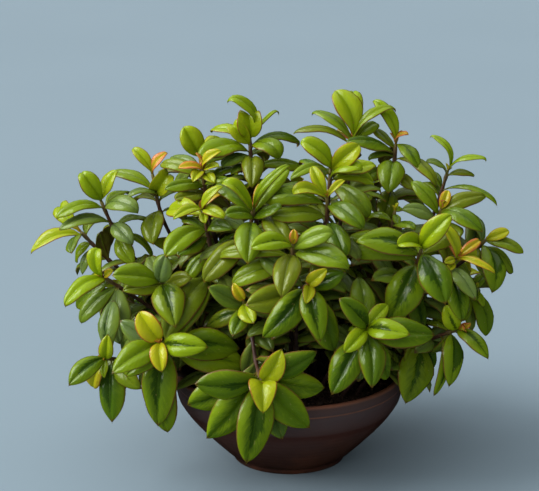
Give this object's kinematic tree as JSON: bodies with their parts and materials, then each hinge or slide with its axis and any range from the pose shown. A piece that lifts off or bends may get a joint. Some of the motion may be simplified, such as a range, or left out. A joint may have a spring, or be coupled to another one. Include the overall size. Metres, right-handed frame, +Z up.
{
  "type": "potted goldfish plant",
  "caption": "Bushy houseplant with glossy pointed leaves on thin dark stems, growing from potting mix in a shallow round glazed stoneware bowl.",
  "frame": {"origin": "centre of the flat underside of the bowl's foot, which stands on the ground", "axes": "+Z up; -Y towards the viewer of the picture, where the leaves hang over the rim; +X to the viewer's right"},
  "size_m": [0.3266, 0.2543, 0.2383],
  "materials": {
    "pot_glaze": "gloss",
    "potting_mix": "matte",
    "foliage": "satin"
  },
  "bodies": {
    "root": {"pot": "pot_glaze", "soil": "potting_mix", "stem_behind_high_1": "foliage", "stem_behind_high_2": "foliage", "stem_behind_high_3": "foliage", "stem_behind_low_1": "foliage", "stem_behind_low_2": "foliage", "stem_behind_low_3": "foliage", "stem_behind_low_4": "foliage", "stem_behind_low_5": "foliage", "stem_behind_low_6": "foliage", "stem_behind_middle_1": "foliage", "stem_behind_middle_2": "foliage", "stem_behind_middle_3": "foliage", "stem_behind_middle_4": "foliage", "stem_behind_middle_5": "foliage", "stem_fan": "foliage", "stem_far_left": "foliage", "stem_far_right": "foliage", "stem_front": "foliage", "stem_glossy": "foliage", "stem_heart": "foliage", "stem_inner_right": "foliage", "stem_left_gold": "foliage", "stem_left_high": "foliage", "stem_left_middle": "foliage", "stem_left_orange": "foliage", "stem_left_top": "foliage", "stem_low_left": "foliage", "stem_middle": "foliage", "stem_middle_low": "foliage", "stem_olive": "foliage", "stem_pink": "foliage", "stem_red_bud": "foliage", "stem_right_behind": "foliage", "stem_right_front": "foliage", "stem_right_low": "foliage", "stem_right_tall": "foliage", "stem_right_upper": "foliage", "stem_rim_right": "foliage", "stem_summit_left": "foliage", "stem_summit_right": "foliage", "stem_top_right": "foliage", "stem_upper_left": "foliage", "stem_upper_middle": "foliage", "stem_yellow_left": "foliage"}
  },
  "joints": []
}
